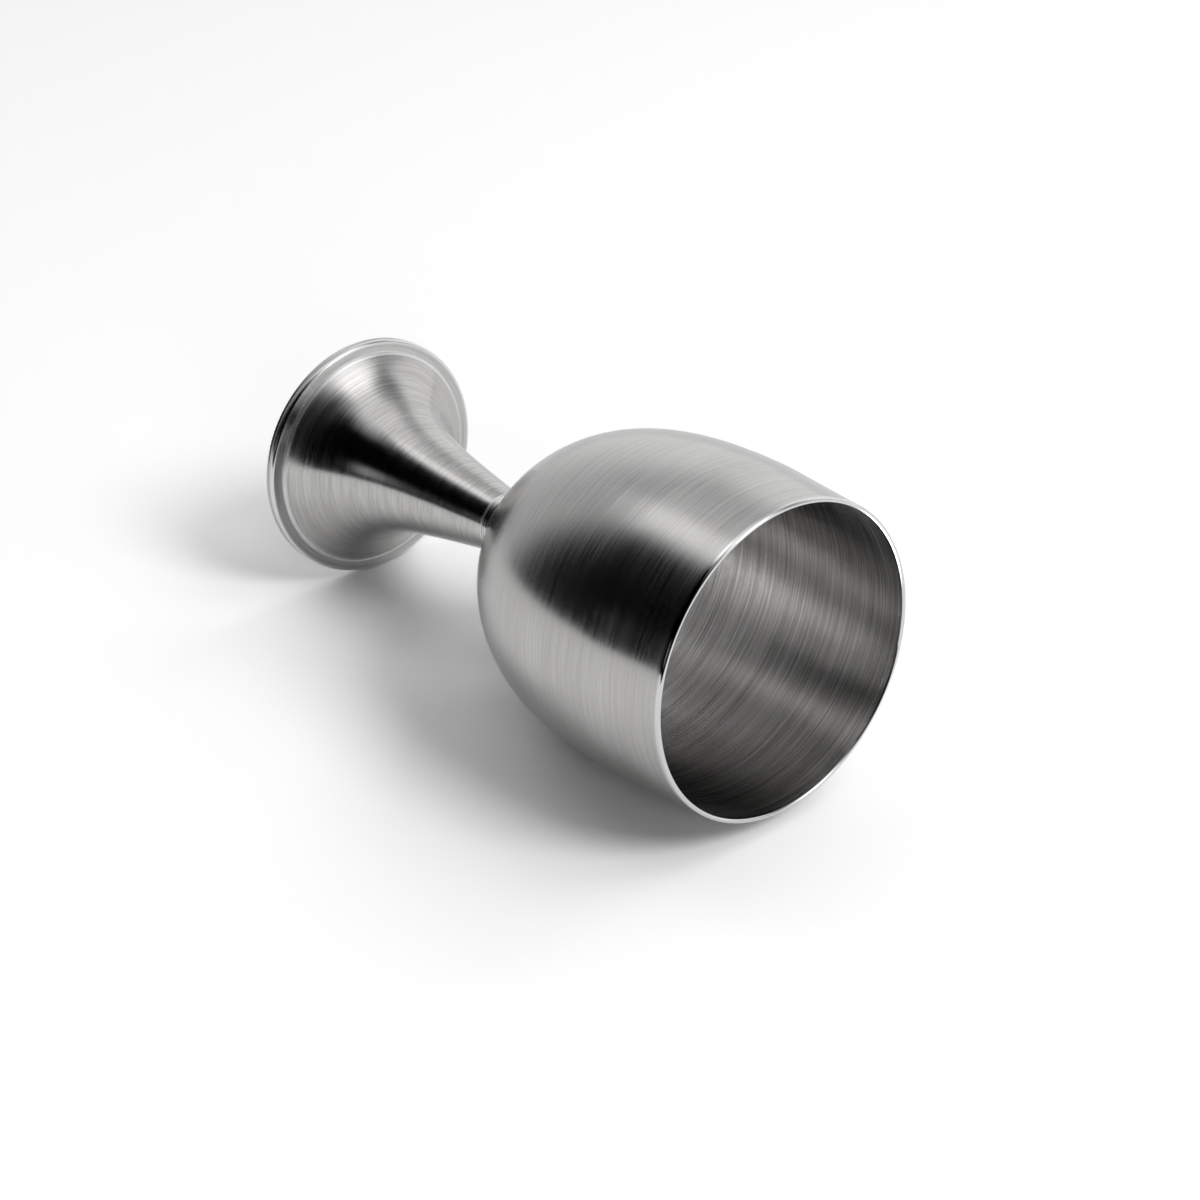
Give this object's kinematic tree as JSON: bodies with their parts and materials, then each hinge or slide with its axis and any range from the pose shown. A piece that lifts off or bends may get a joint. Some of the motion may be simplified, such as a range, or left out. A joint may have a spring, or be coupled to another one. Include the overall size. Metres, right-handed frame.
{
  "type": "stemmed goblet",
  "caption": "Brushed steel drinking goblet: tulip-shaped bowl on a beaded neck and a hollow, flared foot with a flat stepped rim.",
  "frame": {"origin": "where the axis of the goblet meets the surface it stands on, under the middle of the foot", "axes": "+Z along the axis from the foot to the mouth; +X and +Y across it, free to turn because the goblet is round"},
  "size_m": [0.0758, 0.0758, 0.1489],
  "materials": {
    "bowl_steel": "fine brushing round the axis, polished lip",
    "stud_steel": "plain turned",
    "collar_steel": "bright turned",
    "stem_steel": "fine brushing round the axis, bright rim",
    "plug_aluminium": "plain turned",
    "washer_steel": "oiled spring steel",
    "nut_steel": "zinc plated",
    "plate_steel": "plain sheet, brushed rim"
  },
  "bodies": {
    "root": {"bowl": "bowl_steel", "bowl_stud": "stud_steel", "neck_collar": "collar_steel", "stem_foot": "stem_steel", "taper_plug": "plug_aluminium", "spring_washer": "washer_steel", "clamp_nut": "nut_steel", "base_plate": "plate_steel"}
  },
  "joints": []
}
